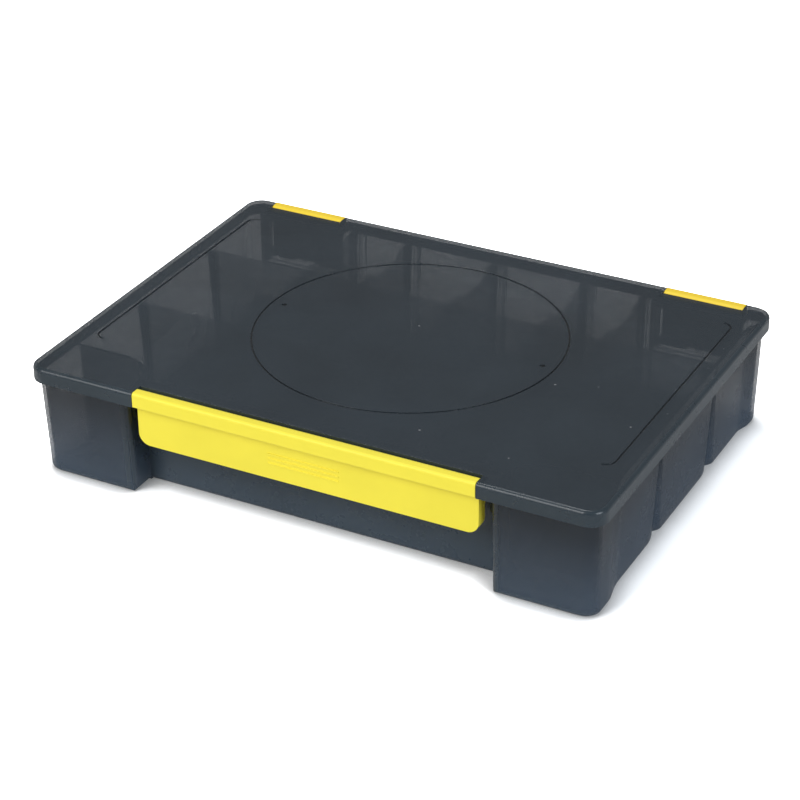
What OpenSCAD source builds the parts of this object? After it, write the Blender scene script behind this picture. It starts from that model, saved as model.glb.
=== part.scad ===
// Compartment box for small tackle: a moulded tray with a front recess and lift-out
// dividers, a lid that swings on two rear clips, and a pull-down latch along the front.
// Origin: centre of the base. X to the right, front face towards -Y, Z up. Millimetres.

/* [Overall size] */
// width of the lid, left to right
body_w = 355; // [345:1:400]
// depth of the lid, front to back
body_d = 256; // [246:1:290]
// height from the base to the top of the lid
body_h = 70; // [64:1:90]

/* [Tray] */
// wall thickness of the tray
tray_t = 2; // [1.6:0.1:2.4]
// floor thickness of the tray
floor_t = 2.2; // [1.8:0.1:3]
// how far the foot of the tray stands inside the outline of the lid, at front and back
foot_inset = 6.2; // [5.4:0.1:7]
// how far the foot of the tray stands inside the outline of the lid, at the sides
side_inset = 4.3; // [3.9:0.1:5]
// how far the top of the tray stands inside the outline of the lid
top_inset = 3.2; // [3:0.1:3.8]
// plan radius of the outer corners of the tray
tray_r = 8.5; // [6:0.5:14]
// rounding of the bottom edge of the tray
foot_r = 3; // [1:0.1:3.2]
// rounding of the upright edges beside the front recess
block_r = 5; // [3.2:0.1:6]
// depth of the shallow panel in each side wall
panel_depth = 4.2; // [2:0.1:5]
// depth of the front corner pillar, from the front of the lid to the side panel's curve
pillar_front = 20; // [18:1:28]
// length of the S-curve from the front pillar into the side panel
panel_run_front = 28; // [16:1:34]
// depth of the rear corner pillar, from the back of the lid to the side panel's curve
pillar_rear = 14; // [14:1:20]
// length of the S-curve from the rear pillar into the side panel
panel_run_rear = 16; // [12:1:20]
// depth of the flutes that back the divider slots
flute_depth = 3; // [2:0.1:3.4]
// width of the flutes in the front and back walls
flute_w = 10; // [8:0.5:10.5]
// length of the front shoulder of each flute in the side walls
shoulder_front = 14; // [8:0.5:18]
// length of the rear shoulder of each flute in the side walls
shoulder_rear = 6; // [4:0.5:10]
// how much shallower the side flutes are at the top of the tray than at its foot
flute_fade = 2; // [0:0.1:2.4]
// distance of the corner walls from the front of the lid
corner_front = 40.5; // [36:0.5:42]
// radius of the bend at the inner end of the corner walls
corner_bend = 25; // [22:1:30]
// depth of the front recess behind the foot of the front blocks
recess_depth = 17.6; // [16.5:0.1:20]
// space beside each end of the latch in the recess
recess_side = 6.5; // [5.5:0.1:9]

/* [Latch ledge] */
// thickness of the ledge under the front edge of the lid
ledge_t = 2.5; // [2:0.1:3]
// front edge of the ledge, measured in from the front of the lid
ledge_edge = 9.1; // [8.9:0.1:9.8]
// height of the down-turned lip of the ledge
ledge_lip = 4; // [3:0.1:5]
// thickness of the lip
lip_t = 1.5; // [1.2:0.1:1.6]
// height of the gussets under the ledge, where they meet the recess wall
gusset_h = 12; // [8:0.5:14]
// thickness of the gussets
gusset_t = 2; // [1.6:0.1:2.4]
// drop of the rounded ears at the ends of the ledge
ear_drop = 15; // [10:0.5:18]
// thickness of the ears
ear_t = 3; // [2:0.1:3.4]
// rounding of the lower corner of the ears
ear_r = 6; // [3:0.5:8]

/* [Dividers] */
// distance of the inner slot columns from the middle
col_mid = 60; // [50:1:66]
// distance of the outer slot columns from the front recess's end or the rear clip's pocket
col_edge = 8.9; // [8:0.1:12]
// position of the front row wall
row_front = -26; // [-34:0.5:-18]
// position of the rear row wall
row_rear = 53.5; // [44:0.5:60]
// thickness of the dividers
divider_t = 1.6; // [1.2:0.1:2]
// thickness of the row walls
row_t = 1.8; // [1.4:0.1:2.4]
// play between a divider and its slot
slot_play = 0.25; // [0.2:0.05:0.4]
// width of the ribs that make the slots
rib_w = 1.2; // [1:0.1:1.6]
// height of the slot ribs on the row walls
rib_h = 1.8; // [1.2:0.1:2.2]
// depth of the slots in the tray walls
slot_depth = 2.6; // [1.8:0.1:3]
// finger dip in the top edge of a divider
dip_depth = 5; // [2:0.5:8]
// width of the floor of the dip
dip_w = 24; // [16:1:28]

/* [Lid] */
// thickness of the lid plate
lid_t = 2.1; // [1.8:0.1:2.4]
// height of the rim
rim_h = 9.2; // [8.8:0.1:9.6]
// thickness of the rim
rim_t = 2.2; // [1.8:0.1:2.4]
// plan radius of the corners of the lid
lid_r = 11; // [8:0.5:14]
// rounding of the upper edge
edge_r = 2.4; // [1:0.1:3]
// gap between the tray walls and the lid plate
top_gap = 0.9; // [0.7:0.1:1.2]
// radius of the ring groove
ring_r = 92; // [70:1:96]
// distance of the ring centre behind the middle of the lid
ring_y = 4; // [0:0.5:10]
// width of the grooves
groove_w = 1; // [0.6:0.1:1.4]
// depth of the grooves
groove_d = 0.5; // [0.3:0.1:0.8]
// distance of the bracket grooves from the sides of the lid
bracket_side = 15; // [13.5:0.5:19]
// distance of the bracket grooves from the front of the lid
bracket_front = 48; // [38:1:58]
// distance of the bracket grooves from the back of the lid
bracket_back = 29; // [24:1:38]
// corner radius of the bracket grooves
bracket_r = 6; // [4:0.5:9]

/* [Latch] */
// length of the latch
latch_w = 212; // [180:1:216]
// height of the lower edge of latch and clips above the base
flap_low = 35.5; // [34:0.5:40]
// thickness of the flap
flap_t = 2.2; // [1.8:0.1:2.6]
// set-back of the flap behind the face of the rim
flap_back = 4.8; // [4.6:0.1:5.2]
// corner radius of the flap
flap_r = 7; // [4:0.5:9]
// depth of the turned-in ends of the flap
return_d = 7.7; // [6:0.1:8]
// how far the turned-in ends reach round the lower corners
return_w = 8; // [7:0.5:12]
// radius of the barrel that turns in the lid
barrel_r = 4.4; // [4.2:0.1:4.4]
// rounding of the front edge of the barrel
barrel_edge = 1.8; // [1.4:0.1:2]
// radius of the end pins
pin_r = 1.9; // [1.5:0.1:2]
// length of the end pins
pin_l = 1.6; // [1.2:0.1:1.7]
// clearance round pins and rods
pin_play = 0.2; // [0.15:0.05:0.3]
// gap at each end of latch and clips
end_gap = 0.3; // [0.2:0.1:0.5]
// gap between the barrel and the edge of its notch
notch_gap = 0.4; // [0.3:0.1:0.6]
// how far the snap bead stands out of the flap
bead_h = 1.1; // [0.6:0.1:1.2]
// length of the grip ribs on the face of the flap
grip_w = 44; // [20:1:80]
// width of each grip rib
grip_t = 1; // [0.6:0.1:1.4]
// spacing of the grip ribs
grip_pitch = 3; // [2.4:0.1:4]

/* [Rear clips] */
// length of each rear clip
clip_w = 50; // [44:1:52]
// distance from the side of the lid to the clip
clip_edge = 17.5; // [17:0.5:20]
// radius of the knuckle at the foot of the clip
knuckle_r = 3.3; // [3.1:0.1:3.5]
// length of each knuckle
knuckle_l = 17; // [12:1:19]
// radius of the rod the knuckle turns on
rod_r = 1.6; // [1.3:0.1:1.7]
// thickness of the cheeks beside latch and clips
cheek_t = 1.8; // [1.6:0.1:2]
// space between a cheek and the side of its pocket
pocket_side = 0.5; // [0.4:0.1:0.8]
// depth of the pockets behind the foot of the back wall
pocket_depth = 7.3; // [7:0.1:7.8]
// drop of the pocket floor below the clip, at its inner edge
pocket_drop = 0.7; // [0.6:0.1:1]
// slope of the pocket floor
pocket_slope = 24; // [20:1:28]
// thickness of the web that props each rod
web_t = 2; // [1.6:0.1:3]

/* [Hidden] */

smoke = [0.23, 0.25, 0.29, 0.8];
clear_smoke = [0.35, 0.37, 0.41, 0.7];
yellow = [0.98, 0.9, 0.25];

// overlap that lets joined solids fuse
eps = 0.05;
// how far a cutting body runs past what it cuts
over = 1;
// outline of the tray at its foot
foot_w = body_w - 2 * side_inset;
foot_d = body_d - 2 * foot_inset;
// levels of the rim's lower edge and of the tray's top
rim_z = body_h - rim_h;
tray_top = body_h - lid_t - top_gap;
// outward lean of the front and back walls, of the side walls, and of the side flutes
draft_angle = atan((foot_inset - top_inset) / tray_top);
side_angle = atan((side_inset - top_inset) / tray_top);
flute_angle = atan((side_inset - top_inset + flute_fade) / tray_top);
function lean(z) = z * tan(draft_angle);
function side_lean(z) = z * tan(side_angle);
function flute_lean(z) = z * tan(flute_angle);
// front recess
recess_w = latch_w + 2 * recess_side;
recess_y = -foot_d / 2 + recess_depth;
// rear clips and their pockets
clip_x = body_w / 2 - clip_edge - clip_w / 2;
pocket_w = clip_w + 2 * (end_gap + cheek_t + pocket_side);
pocket_y = foot_d / 2 - pocket_depth;
pocket_z = flap_low - pocket_drop;
// radius of the round-bottomed flutes, from their width and depth
flute_r = (flute_w * flute_w / 4 + flute_depth * flute_depth) / (2 * flute_depth);
// inner faces of the flutes at the foot of the tray, where the dividers end
back_face = foot_d / 2 - flute_depth - tray_t;
front_face = -recess_y - flute_depth - tray_t;
side_face = foot_w / 2 - panel_depth - flute_depth - tray_t;
// side panel, from its front to its rear end
panel_y0 = -body_d / 2 + pillar_front;
panel_y1 = body_d / 2 - pillar_rear;
// corner walls
corner_y = -body_d / 2 + corner_front;
// bracket grooves
bracket_x = body_w / 2 - bracket_side;
bracket_y0 = -body_d / 2 + bracket_front;
bracket_y1 = body_d / 2 - bracket_back;
// slot columns and rows
col_out = min(recess_w / 2, clip_x - pocket_w / 2) - col_edge;
cols = [-col_out, -col_mid, 0, col_mid, col_out];
rows = [row_front, row_rear];
slot_w = divider_t + 2 * slot_play;
row_slot_w = row_t + 2 * slot_play;
// dividers stand just above the floor and end just under the top of the tray
divider_z0 = floor_t + 0.1;
divider_z1 = tray_top - 0.4;
divider_gap = 0.3;
// barrel axis, measured from the middle of the box and from the base
axis_y = body_d / 2 - flap_back + 0.2;
axis_z = body_h - barrel_r;
// rear rod axis
rod_y = body_d / 2 - flap_back - knuckle_r - 0.1;
rod_z = flap_low + knuckle_r;
// notches in the rim
notch_y = axis_y - barrel_r - notch_gap;
// ledge, just below the rim and the barrel
ledge_z = min(rim_z, axis_z - barrel_r) - 0.3;
ledge_y = -body_d / 2 + ledge_edge;
ledge_w = latch_w - 2 * return_w - 2;
seat_y = -body_d / 2 + flap_back + return_d + 5;

function arc(cy, cz, r, a0, a1, n) =
    [for (i = [0:n]) [cy + r * cos(a0 + (a1 - a0) * i / n), cz + r * sin(a0 + (a1 - a0) * i / n)]];

// four thin discs at the corners of a plan, for hull() to join
module corner_discs(w, d, r, steps) {
    for (x = [-1, 1], y = [-1, 1])
        translate([x * (w / 2 - r), y * (d / 2 - r), 0])
            cylinder(r = r, h = 0.01, $fn = steps);
}

// drafted block with rounded corners; inset moves its sides in from the tray's own faces,
// and its bottom edge is rounded
module drafted_block(z0, z1, inset, r, edge) {
    hull()
        for (a = edge > 0 ? [0, 30, 60, 90, 91] : [90, 91]) {
            z = a > 90 ? z1 : z0 + edge * (1 - cos(a));
            step = inset + (a > 90 ? 0 : edge * (1 - sin(a)));
            translate([0, 0, a > 90 ? z1 - 0.01 : z])
                corner_discs(foot_w + 2 * (side_lean(z) - step), foot_d + 2 * (lean(z) - step), r, 40);
        }
}

// stands its children up along a side wall's foot, leaning out
module lean_x(angle) {
    translate([foot_w / 2, 0, 0])
        rotate([0, angle, 0])
            translate([0, 0, -3 * over])
                linear_extrude(height = body_h + 6 * over)
                    children();
}

// the same along the foot of a wall at y, for walls that lean towards +Y
module lean_y(y) {
    translate([0, y, 0])
        rotate([-draft_angle, 0, 0])
            translate([0, 0, -3 * over])
                linear_extrude(height = body_h + 6 * over)
                    children();
}

// S-curve from a pillar at y into the side panel over a signed length, as a line of
// [y, depth, slope]; it starts outside the wall, to cross the wall's face at an angle
function s_curve(y, length) =
    [for (i = [-1, 1, 2, 3, 4, 5, 6, 7]) let (t = i / 7)
        [y + length * t, panel_depth * sign(t) * t * t * (3 - 2 * abs(t)),
            6 * abs(t) * (1 - abs(t)) * panel_depth / length]];

// one shoulder of a flute, from the panel to the crease at y, over a signed length
function shoulder(y, length, steps) =
    [for (t = steps)
        [y + length * t, flute_depth * pow(1 - t, 2), -2 * flute_depth * (1 - t) / length]];

// flute with a sharp crease at y between a long front and a short rear shoulder; given a
// wall, the line turns round the crease in two steps
function crease(y, wall) = concat(
    shoulder(y, -shoulder_front, wall > 0 ? [1, 0.8, 0.6, 0.4, 0.2, 0] : [1, 0.8, 0.6, 0.4, 0.2]),
    [[y, flute_depth, 0]],
    shoulder(y, shoulder_rear, wall > 0 ? [0, 0.25, 0.5, 0.75, 1] : [0.25, 0.5, 0.75, 1]));

function reversed(line) = [for (i = [len(line) - 1:-1:0]) line[i]];

// region outside such a line, moved in square to the line by one wall
module outside(line, wall) {
    last = len(line) - 1;
    far = 4 * over;
    inner = [for (p = line) let (n = sqrt(1 + p[2] * p[2]))
        [-p[1] - wall / n, p[0] - wall * p[2] / n]];
    polygon(concat([[far, inner[0][1]]], inner, [[far, inner[last][1]]]));
}

// the pressed-in panel and flutes of the right wall; wall is zero outside the tray,
// and one wall thickness for the bulges inside it
module side_folds(wall) {
    lean_x(side_angle)
        outside(concat(
            s_curve(panel_y0, panel_run_front),
            reversed(s_curve(panel_y1, -panel_run_rear))), wall);
    for (y = rows)
        lean_x(flute_angle)
            translate([-panel_depth, 0])
                outside(crease(y, wall), wall);
}

// the flutes of the back wall; mirrored, their bulges are the pads behind the recess wall
module end_folds(y, wall) {
    lean_y(y)
        for (x = cols)
            translate([x, flute_r - flute_depth])
                circle(r = flute_r + wall, $fn = 48);
}

// front recess between the blocks
module recess(wall) {
    mirror([0, 1, 0])
        lean_y(-recess_y)
            translate([-recess_w / 2 - wall, -wall])
                square([recess_w + 2 * wall, recess_depth + 12 * over]);
}

// rounds the bottom edges of the recess wall and of the blocks beside it
module recess_foot() {
    translate([-recess_w / 2, recess_y, 0])
        rotate([90, 0, 90])
            linear_extrude(height = recess_w)
                edge_cut(foot_r);
    for (s = [0, 1])
        mirror([s, 0, 0])
            translate([recess_w / 2, recess_y, 0])
                rotate([90, 0, 0])
                    linear_extrude(height = recess_depth + over)
                        edge_cut(foot_r);
}

// what a rounding of radius r takes off a corner at the origin, with the solid towards +X +Y
module edge_cut(r) {
    difference() {
        translate([-over, -over])
            square([r + over, r + over]);
        translate([r, r])
            circle(r = r, $fn = 32);
    }
}

// rounds the upright edge of a front block beside the recess
module block_edge(wall) {
    r = block_r - wall;
    for (s = [0, 1])
        mirror([s, 0, 0])
            mirror([0, 1, 0])
                lean_y(foot_d / 2 - wall)
                    translate([recess_w / 2 + wall, 0])
                        difference() {
                            translate([-over, -r])
                                square([r + over, r + over]);
                            translate([r, -r])
                                circle(r = r, $fn = 48);
                        }
}

// everything pressed into the walls from outside, or, given a wall, its bulges inside
module folds(wall) {
    for (s = [0, 1])
        mirror([s, 0, 0]) {
            side_folds(wall);
            translate([clip_x, 0, 0])
                clip_pocket(wall);
        }
    end_folds(foot_d / 2, wall);
    recess(wall);
    if (wall > 0)
        mirror([0, 1, 0])
            end_folds(-recess_y, wall);
    block_edge(wall);
}

// pair of upright ribs along +Y that hold the edge of a divider
module rib_pair(gap, depth) {
    for (s = [-1, 1])
        translate([s * (gap / 2 + rib_w / 2) - rib_w / 2, 0, 0])
            cube([rib_w, depth, tray_top - floor_t - over]);
}

module wall_ribs() {
    // depth of the ribs' roots in the walls, whatever the walls' lean
    root = flute_depth + 3;
    for (x = cols) {
        translate([x, back_face - slot_depth, floor_t - over])
            rib_pair(slot_w, slot_depth + root);
        translate([x, -front_face + slot_depth, floor_t - over])
            mirror([0, 1, 0])
                rib_pair(slot_w, slot_depth + root);
    }
    for (y = rows) {
        translate([side_face - slot_depth, y, floor_t - over])
            rotate([0, 0, -90])
                rib_pair(row_slot_w, slot_depth + root);
        translate([-side_face + slot_depth, y, floor_t - over])
            rotate([0, 0, 90])
                rib_pair(row_slot_w, slot_depth + root);
    }
}

// fixed wall across each front corner, bending into the corner of the recess
module corner_walls() {
    rise = corner_y - recess_y;
    // where the bend begins, for an arc that runs into the middle of the recess's end wall
    bend_x = recess_w / 2 + tray_t / 2 + sqrt(rise * (2 * corner_bend - rise));
    for (s = [0, 1])
        mirror([s, 0, 0])
            translate([0, 0, floor_t - over])
                linear_extrude(height = divider_z1 - floor_t + over) {
                    translate([bend_x, corner_y - tray_t / 2])
                        square([foot_w / 2 - bend_x, tray_t]);
                    intersection() {
                        translate([recess_w / 2 - tray_t, recess_y - tray_t])
                            square([bend_x - recess_w / 2 + tray_t, rise + 2 * tray_t]);
                        translate([bend_x, corner_y - corner_bend])
                            difference() {
                                circle(r = corner_bend + tray_t / 2, $fn = 90);
                                circle(r = corner_bend - tray_t / 2, $fn = 90);
                            }
                    }
                }
}

// space for one rear clip; grown by a wall it is the bulge the pocket makes inside
module clip_pocket(wall) {
    slope_y = 14;
    translate([-pocket_w / 2 - wall, 0, 0])
        rotate([90, 0, 90])
            linear_extrude(height = pocket_w + 2 * wall)
                polygon([
                    [pocket_y - wall, pocket_z - wall],
                    [pocket_y + slope_y, pocket_z - wall - slope_y * tan(pocket_slope)],
                    [pocket_y + slope_y, body_h + over],
                    [pocket_y - wall, body_h + over]
                ]);
}

// rod across a pocket and the web that props it in the middle
module clip_rod() {
    web_h = 1.5 * rod_r;
    root = tray_t / 2;
    translate([-pocket_w / 2 - root, rod_y, rod_z])
        rotate([0, 90, 0])
            cylinder(r = rod_r, h = pocket_w + 2 * root, $fn = 48);
    translate([-web_t / 2, pocket_y - root, rod_z - web_h / 2])
        cube([web_t, rod_y - pocket_y + root, web_h]);
}

// ledge the latch snaps under, with its lip, gussets and end ears
module ledge() {
    // depth of the ledge's and the ears' roots in the walls of the recess
    root = tray_t / 2;
    root_y = recess_y - lean(ledge_z) + root;
    gusset_y = ledge_y + 4;
    gussets = [-(col_mid + col_out) / 2, -col_mid / 2, col_mid / 2, (col_mid + col_out) / 2];
    translate([-recess_w / 2 - root, seat_y, ledge_z - ledge_t])
        cube([recess_w + 2 * root, root_y - seat_y, ledge_t]);
    translate([-ledge_w / 2, ledge_y, ledge_z - ledge_t])
        cube([ledge_w, seat_y - ledge_y + root, ledge_t]);
    translate([-ledge_w / 2, ledge_y, ledge_z - ledge_lip])
        cube([ledge_w, lip_t, ledge_lip - ledge_t / 2]);
    for (x = gussets)
        translate([x - gusset_t / 2, 0, 0])
            rotate([90, 0, 90])
                linear_extrude(height = gusset_t)
                    polygon([
                        [root_y, ledge_z - ledge_t / 2],
                        [gusset_y, ledge_z - ledge_t / 2],
                        [gusset_y, ledge_z - ledge_lip],
                        [root_y, ledge_z - gusset_h]
                    ]);
    for (s = [-1, 1])
        translate([s * (recess_w / 2 - ear_t / 2 + root) - ear_t / 2, 0, 0])
            rotate([90, 0, 90])
                linear_extrude(height = ear_t)
                    polygon(concat(
                        [[root_y, ledge_z], [ledge_y, ledge_z]],
                        arc(ledge_y + ear_r, ledge_z - ear_drop + ear_r, ear_r, 180, 270, 8),
                        [[root_y, ledge_z - ear_drop]]));
}

module tray() {
    color(smoke)
        union() {
            difference() {
                drafted_block(0, tray_top, 0, tray_r, foot_r);
                difference() {
                    drafted_block(floor_t, tray_top + over, tray_t, tray_r - tray_t, 0);
                    folds(tray_t);
                    wall_ribs();
                    corner_walls();
                }
                folds(0);
                recess_foot();
            }
            for (s = [-1, 1])
                translate([s * clip_x, 0, 0])
                    clip_rod();
            ledge();
        }
}

// full block of the lid with its rounded upper edge
module lid_block() {
    hull()
        for (a = [-1, 0, 22.5, 45, 67.5, 90]) {
            inset = a < 0 ? 0 : edge_r * (1 - cos(a));
            level = a < 0 ? rim_z : body_h - edge_r + edge_r * sin(a);
            translate([0, 0, level - (a == 90 ? 0.01 : 0)])
                corner_discs(body_w - 2 * inset, body_d - 2 * inset, lid_r - inset, 48);
        }
}

// hollow under the lid plate
module lid_hollow() {
    w = body_w - 2 * rim_t;
    d = body_d - 2 * rim_t;
    r = lid_r - rim_t;
    h = rim_h - lid_t + over;
    translate([0, 0, rim_z - over]) {
        translate([-w / 2 + r, -d / 2, 0])
            cube([w - 2 * r, d, h]);
        translate([-w / 2, -d / 2 + r, 0])
            cube([w, d - 2 * r, h]);
        for (x = [-1, 1], y = [-1, 1])
            translate([x * (w / 2 - r), y * (d / 2 - r), 0])
                cylinder(r = r, h = h, $fn = 48);
    }
}

// block along +Y at the rim: the notch itself, or grown by the cheeks
module notch(length, side, wall) {
    w = length + 2 * end_gap + 2 * side;
    translate([-w / 2, notch_y - wall, rim_z - 2 * over])
        cube([w, body_d / 2 - notch_y + wall + 2 * over, rim_h + 4 * over]);
}

// sockets for the end pins
module pin_sockets(length) {
    reach = length / 2 + end_gap + cheek_t + over;
    translate([-reach, axis_y, axis_z])
        rotate([0, 90, 0])
            cylinder(r = pin_r + pin_play, h = 2 * reach, $fn = 48);
}

module bracket_groove() {
    translate([bracket_x - groove_w / 2, bracket_y0 + bracket_r, 0])
        cube([groove_w, bracket_y1 - bracket_y0 - 2 * bracket_r, groove_d + over]);
    translate([bracket_x - bracket_r, bracket_y1 - bracket_r, 0])
        rotate_extrude(angle = 90, $fn = 48)
            translate([bracket_r - groove_w / 2, 0])
                square([groove_w, groove_d + over]);
    translate([bracket_x - bracket_r, bracket_y0 + bracket_r, 0])
        rotate([0, 0, -90])
            rotate_extrude(angle = 90, $fn = 48)
                translate([bracket_r - groove_w / 2, 0])
                    square([groove_w, groove_d + over]);
}

module lid() {
    gate_x = 84;
    gate_r = 1.5;
    color(smoke)
        difference() {
            lid_block();
            difference() {
                lid_hollow();
                mirror([0, 1, 0])
                    notch(latch_w, cheek_t, rim_t);
                for (s = [-1, 1])
                    translate([s * clip_x, 0, 0])
                        notch(clip_w, cheek_t, rim_t);
            }
            mirror([0, 1, 0])
                notch(latch_w, 0, 0);
            mirror([0, 1, 0])
                pin_sockets(latch_w);
            for (s = [-1, 1])
                translate([s * clip_x, 0, 0]) {
                    notch(clip_w, 0, 0);
                    pin_sockets(clip_w);
                }
            translate([0, ring_y, body_h - groove_d])
                rotate_extrude($fn = 180)
                    translate([ring_r - groove_w / 2, 0])
                        square([groove_w, groove_d + over]);
            translate([0, 0, body_h - groove_d]) {
                bracket_groove();
                mirror([1, 0, 0])
                    bracket_groove();
            }
            for (s = [-1, 1])
                translate([s * gate_x, ring_y, body_h - groove_d])
                    cylinder(r = gate_r, h = groove_d + over, $fn = 32);
        }
}

// section of the barrel, with +Y outwards and its axis at the origin
module barrel_section() {
    front = body_d / 2 - axis_y;
    low = rim_z - axis_z;
    e = barrel_edge;
    low_r = 0.8;
    polygon(concat(
        arc(front - e, barrel_r - e, e, 0, 90, 8),
        arc(0, 0, barrel_r, 90, 270, 36),
        [[0, low + low_r / 2]],
        arc(front - low_r, low + low_r, low_r, 270, 360, 4)));
}

// barrel with its end pins, cored from below
module barrel(length, cores) {
    end_wall = 6;
    web = 1.8;
    pitch = (length - 2 * end_wall + web) / cores;
    // the cores lie between the flap and the front skin, under the top skin
    core_y0 = 0.3;
    core_y1 = body_d / 2 - axis_y - 1.5;
    core_top = barrel_r - 2;
    difference() {
        translate([-length / 2, 0, 0])
            rotate([90, 0, 90])
                linear_extrude(height = length)
                    barrel_section();
        for (i = [0:cores - 1])
            translate([-length / 2 + end_wall + i * pitch, core_y0, -barrel_r - over])
                cube([pitch - web, core_y1 - core_y0, barrel_r + over + core_top]);
    }
    for (s = [-1, 1])
        translate([s * (length + pin_l - over) / 2, 0, 0])
            rotate([0, 90, 0])
                cylinder(r = pin_r, h = pin_l + over, center = true, $fn = 48);
}

// outline of the flap in the X-Z plane, square at the top and round at the lower corners
module flap_plan(w, h, r) {
    polygon(concat(
        [[-w / 2, 0]],
        arc(-w / 2 + r, -h + r, r, 180, 270, 12),
        arc(w / 2 - r, -h + r, r, 270, 360, 12),
        [[w / 2, 0]]));
}

module front_latch() {
    // top of the flap, inside the barrel, and the height of the flap below it
    root_z = axis_z - 2;
    flap_h = root_z - flap_low;
    face_y = body_d / 2 - flap_back;
    return_z = rim_z - notch_gap;
    // snap bead: its half height, how far it stops short of the ledge's ends, and its level
    bead_half = 0.9;
    bead_inset = 4;
    bead_z = ledge_z - ledge_lip - 1.6;
    bead_root = 0.5;
    grip_h = 0.5;
    color(yellow)
        mirror([0, 1, 0])
            union() {
                translate([0, axis_y, axis_z])
                    barrel(latch_w, 8);
                translate([0, face_y, root_z])
                    rotate([90, 0, 0])
                        linear_extrude(height = flap_t)
                            flap_plan(latch_w, flap_h, flap_r);
                // turned-in ends of the flap
                translate([0, face_y, return_z])
                    rotate([90, 0, 0])
                        linear_extrude(height = return_d)
                            difference() {
                                flap_plan(latch_w, return_z - flap_low, flap_r);
                                translate([0, over])
                                    flap_plan(latch_w - 2 * flap_t,
                                        return_z - flap_low + over - flap_t, flap_r - flap_t);
                                translate([-latch_w / 2 + return_w, -flap_h - over])
                                    square([latch_w - 2 * return_w, flap_h + 2 * over]);
                            }
                // snap bead behind the flap
                translate([-ledge_w / 2 + bead_inset, face_y - flap_t, bead_z])
                    rotate([90, 0, 90])
                        linear_extrude(height = ledge_w - 2 * bead_inset)
                            polygon([
                                [bead_root, -bead_half],
                                [0, -bead_half],
                                [-bead_h, -bead_half / 3],
                                [-bead_h, bead_half / 3],
                                [0, bead_half],
                                [bead_root, bead_half]
                            ]);
                // three grip ribs on the face of the flap
                for (i = [-1:1])
                    translate([-grip_w / 2, face_y - grip_h,
                        (rim_z + flap_low - grip_t) / 2 + i * grip_pitch])
                        cube([grip_w, 2 * grip_h, grip_t]);
            }
}

module hinge_clip() {
    face_y = body_d / 2 - flap_back;
    plate_h = axis_z - 2 - rod_z;
    mouth_w = 2 * rod_r - 0.6;
    difference() {
        union() {
            translate([0, axis_y, axis_z])
                barrel(clip_w, 2);
            translate([-clip_w / 2, face_y - flap_t, rod_z])
                cube([clip_w, flap_t, plate_h]);
            for (s = [-1, 1])
                translate([s * (clip_w / 2 - knuckle_l / 2) - knuckle_l / 2, rod_y, rod_z])
                    rotate([0, 90, 0])
                        cylinder(r = knuckle_r, h = knuckle_l, $fn = 60);
        }
        translate([-clip_w / 2 - over, rod_y, rod_z])
            rotate([0, 90, 0])
                cylinder(r = rod_r + pin_play, h = clip_w + 2 * over, $fn = 48);
        // mouth of the knuckles, narrower than the rod
        translate([-clip_w / 2 - over, rod_y, rod_z])
            rotate([-45, 0, 0])
                translate([0, -knuckle_r - over, -mouth_w / 2])
                    cube([clip_w + 2 * over, knuckle_r + over, mouth_w]);
    }
}

module hinge_clip_left() {
    color(yellow)
        translate([-clip_x, 0, 0])
            hinge_clip();
}

module hinge_clip_right() {
    color(yellow)
        translate([clip_x, 0, 0])
            hinge_clip();
}

// upright wall between two rows, with slot ribs on both faces
module row_wall(y) {
    half = side_face - divider_gap;
    low = half + flute_lean(divider_z0);
    high = half + flute_lean(divider_z1);
    translate([0, y + row_t / 2, 0])
        rotate([90, 0, 0])
            linear_extrude(height = row_t)
                polygon([[-low, divider_z0], [low, divider_z0], [high, divider_z1],
                    [-high, divider_z1]]);
    for (x = cols, s = [-1, 1], f = [-1, 1])
        translate([x + s * (slot_w / 2 + rib_w / 2), y + f * (row_t / 2 + rib_h / 2 - eps),
            (divider_z0 + divider_z1) / 2])
            cube([rib_w, rib_h + 2 * eps, divider_z1 - divider_z0 - 2], center = true);
}

module row_wall_front() {
    color(clear_smoke)
        row_wall(row_front);
}

module row_wall_rear() {
    color(clear_smoke)
        row_wall(row_rear);
}

// cross divider at x between y0 and y1, given at the floor and at the top edge
module cross_divider(x, y0, y1, y0_top, y1_top) {
    mid = (y0_top + y1_top) / 2;
    translate([x - divider_t / 2, 0, 0])
        rotate([90, 0, 90])
            linear_extrude(height = divider_t)
                polygon([
                    [y0, divider_z0],
                    [y1, divider_z0],
                    [y1_top, divider_z1],
                    [mid + dip_w / 2 + dip_depth, divider_z1],
                    [mid + dip_w / 2, divider_z1 - dip_depth],
                    [mid - dip_w / 2, divider_z1 - dip_depth],
                    [mid - dip_w / 2 - dip_depth, divider_z1],
                    [y0_top, divider_z1]
                ]);
}

module front_divider(i) {
    near = -front_face + divider_gap;
    far = row_front - row_t / 2 - divider_gap;
    color(clear_smoke)
        cross_divider(cols[i], near - lean(divider_z0), far, near - lean(divider_z1), far);
}

module middle_divider(i) {
    near = row_front + row_t / 2 + divider_gap;
    far = row_rear - row_t / 2 - divider_gap;
    color(clear_smoke)
        cross_divider(cols[i], near, far, near, far);
}

module rear_divider(i) {
    near = row_rear + row_t / 2 + divider_gap;
    far = back_face - divider_gap;
    color(clear_smoke)
        cross_divider(cols[i], near, far + lean(divider_z0), near, far + lean(divider_z1));
}

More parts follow.
